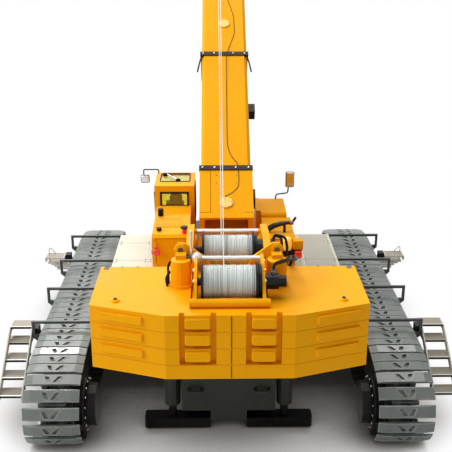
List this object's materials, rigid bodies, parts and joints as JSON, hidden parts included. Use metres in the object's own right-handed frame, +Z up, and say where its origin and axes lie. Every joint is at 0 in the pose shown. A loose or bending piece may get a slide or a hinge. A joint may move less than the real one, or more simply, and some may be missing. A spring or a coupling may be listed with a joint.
{
  "type": "telescopic crawler crane, 1:50 display model",
  "caption": "Scale model crane on tracks with a slewing superstructure, telescopic boom, winches, counterweight and hook block.",
  "frame": {"origin": "slewing axis at ground level, mid-way between the tracks", "axes": "+Y the way the boom points, +X to the right of the cab, +Z up"},
  "size_m": [0.199, 0.4454, 0.3014],
  "materials": {
    "yellow_paint": "satin enamel over die-cast metal",
    "grey_paint": "satin dark blue-grey enamel",
    "track_grey": "satin dark grey enamel",
    "deck_grey": "light warm grey, fine tread plate",
    "black_paint": "satin black",
    "dark_steel": "dark machined steel",
    "bare_metal": "etched bare metal",
    "rope_steel": "wound fine steel-grey line",
    "chrome": "polished rod",
    "seat_black": "matt black plastic",
    "tinted_glass": "thin smoke-tinted clear plastic",
    "lamp_lens": "red and amber lamp lenses"
  },
  "bodies": {
    "undercarriage": {"centre_section": "grey_paint", "cross_beams": "grey_paint", "slew_ring": "dark_steel", "crawler_frame_l": "grey_paint", "crawler_frame_r": "grey_paint", "track_l": "track_grey", "track_r": "track_grey", "sprockets_l": "dark_steel", "sprockets_r": "dark_steel", "track_rollers_l": "dark_steel", "track_rollers_r": "dark_steel", "final_drives": "black_paint", "deck_l": "deck_grey", "deck_r": "deck_grey", "track_brackets_l": "track_grey", "track_brackets_r": "track_grey", "stairs_l": "bare_metal", "stairs_r": "bare_metal", "stair_blocks": "black_paint", "jack_cylinders": "grey_paint"},
    "superstructure": {"turntable_frame": "yellow_paint", "left_housing": "yellow_paint", "right_housing": "yellow_paint", "counterweight_base": "yellow_paint", "counterweight_slab_1": "yellow_paint", "counterweight_slab_2": "yellow_paint", "counterweight_slab_3": "yellow_paint", "ballast_rams": "yellow_paint", "winch_frame": "yellow_paint", "winch_motors": "black_paint", "cab_shell": "yellow_paint", "cab_glass": "tinted_glass", "operator_seat": "seat_black", "mirrors": "black_paint", "exhaust_pipe": "black_paint", "lamps": "lamp_lens", "roof_fittings": "black_paint"},
    "rear_winch": {"winch_drum_rear": "rope_steel"},
    "front_winch": {"winch_drum_front": "rope_steel"},
    "cylinder_barrel": {"luff_barrel": "yellow_paint"},
    "cylinder_rod": {"luff_rod": "chrome"},
    "boom": {"boom_base": "yellow_paint", "boom_bands": "black_paint", "boom_fittings": "black_paint"},
    "section_1": {"boom_section_1": "yellow_paint"},
    "section_2": {"boom_section_2": "yellow_paint"},
    "section_3": {"boom_section_3": "yellow_paint"},
    "section_4": {"boom_section_4": "yellow_paint", "boom_head": "yellow_paint"},
    "upper_sheave": {"top_sheave": "dark_steel"},
    "lower_sheaves": {"head_sheaves": "dark_steel"},
    "block": {"hook_block": "yellow_paint"},
    "block_pulleys": {"block_sheaves": "dark_steel"},
    "load_hook": {"hook": "black_paint"},
    "jack_fl": {"jack_foot_fl": "black_paint"},
    "jack_fr": {"jack_foot_fr": "black_paint"},
    "jack_rl": {"jack_foot_rl": "black_paint"},
    "jack_rr": {"jack_foot_rr": "black_paint"}
  },
  "joints": [
    {"name": "slew", "type": "hinge", "parent": "undercarriage", "child": "superstructure", "pos_m": [0, 0, 0.0427], "axis": [0, 0, 1], "continuous": true},
    {"name": "luff", "type": "hinge", "parent": "superstructure", "child": "boom", "pos_m": [0, -0.016, 0.0555], "axis": [1, 0, 0], "range_deg": [-35, 48]},
    {"name": "cylinder_swing", "type": "hinge", "parent": "superstructure", "child": "cylinder_barrel", "pos_m": [0, 0.004, 0.047], "axis": [1, 0, 0], "range_deg": [-36.75, 50.4]},
    {"name": "cylinder_stroke", "type": "slide", "parent": "cylinder_barrel", "child": "cylinder_rod", "axis": [0, 0.8021, 0.5971], "range_m": [-0.01222, 0.01675]},
    {"name": "rear_winch_spin", "type": "hinge", "parent": "superstructure", "child": "rear_winch", "pos_m": [0, -0.098, 0.078], "axis": [1, 0, 0], "continuous": true},
    {"name": "front_winch_spin", "type": "hinge", "parent": "superstructure", "child": "front_winch", "pos_m": [0, -0.065, 0.078], "axis": [1, 0, 0], "continuous": true},
    {"name": "upper_sheave_spin", "type": "hinge", "parent": "section_4", "child": "upper_sheave", "pos_m": [0, 0.30666, 0.2973], "axis": [1, 0, 0], "continuous": true},
    {"name": "lower_sheaves_spin", "type": "hinge", "parent": "section_4", "child": "lower_sheaves", "pos_m": [0, 0.32637, 0.27264], "axis": [1, 0, 0], "continuous": true},
    {"name": "block_swing", "type": "hinge", "parent": "section_4", "child": "block", "pos_m": [0, 0.32637, 0.27264], "axis": [1, 0, 0], "range_deg": [-50, 37]},
    {"name": "block_pulleys_spin", "type": "hinge", "parent": "block", "child": "block_pulleys", "pos_m": [0, 0.32637, 0.25864], "axis": [1, 0, 0], "continuous": true},
    {"name": "hook_swivel", "type": "hinge", "parent": "block", "child": "load_hook", "pos_m": [0, 0.32637, 0.25114], "axis": [0, 0, 1], "continuous": true},
    {"name": "telescope_1", "type": "slide", "parent": "boom", "child": "section_1", "axis": [0, 0.8192, 0.5736], "range_m": [0, 0.24]},
    {"name": "telescope_2", "type": "slide", "parent": "section_1", "child": "section_2", "axis": [0, 0.8192, 0.5736], "range_m": [0, 0.24]},
    {"name": "telescope_3", "type": "slide", "parent": "section_2", "child": "section_3", "axis": [0, 0.8192, 0.5736], "range_m": [0, 0.24]},
    {"name": "telescope_4", "type": "slide", "parent": "section_3", "child": "section_4", "axis": [0, 0.8192, 0.5736], "range_m": [0, 0.24]},
    {"name": "jack_stroke_fl", "type": "slide", "parent": "undercarriage", "child": "jack_fl", "axis": [0, 0, -1], "range_m": [0, 0.008]},
    {"name": "jack_stroke_fr", "type": "slide", "parent": "undercarriage", "child": "jack_fr", "axis": [0, 0, -1], "range_m": [0, 0.008]},
    {"name": "jack_stroke_rl", "type": "slide", "parent": "undercarriage", "child": "jack_rl", "axis": [0, 0, -1], "range_m": [0, 0.008]},
    {"name": "jack_stroke_rr", "type": "slide", "parent": "undercarriage", "child": "jack_rr", "axis": [0, 0, -1], "range_m": [0, 0.008]}
  ],
  "couplings": [
    {"joint": "cylinder_swing", "follows": "luff", "ratio": 1.05},
    {"joint": "cylinder_stroke", "follows": "luff", "m_per_rad": 0.02}
  ]
}
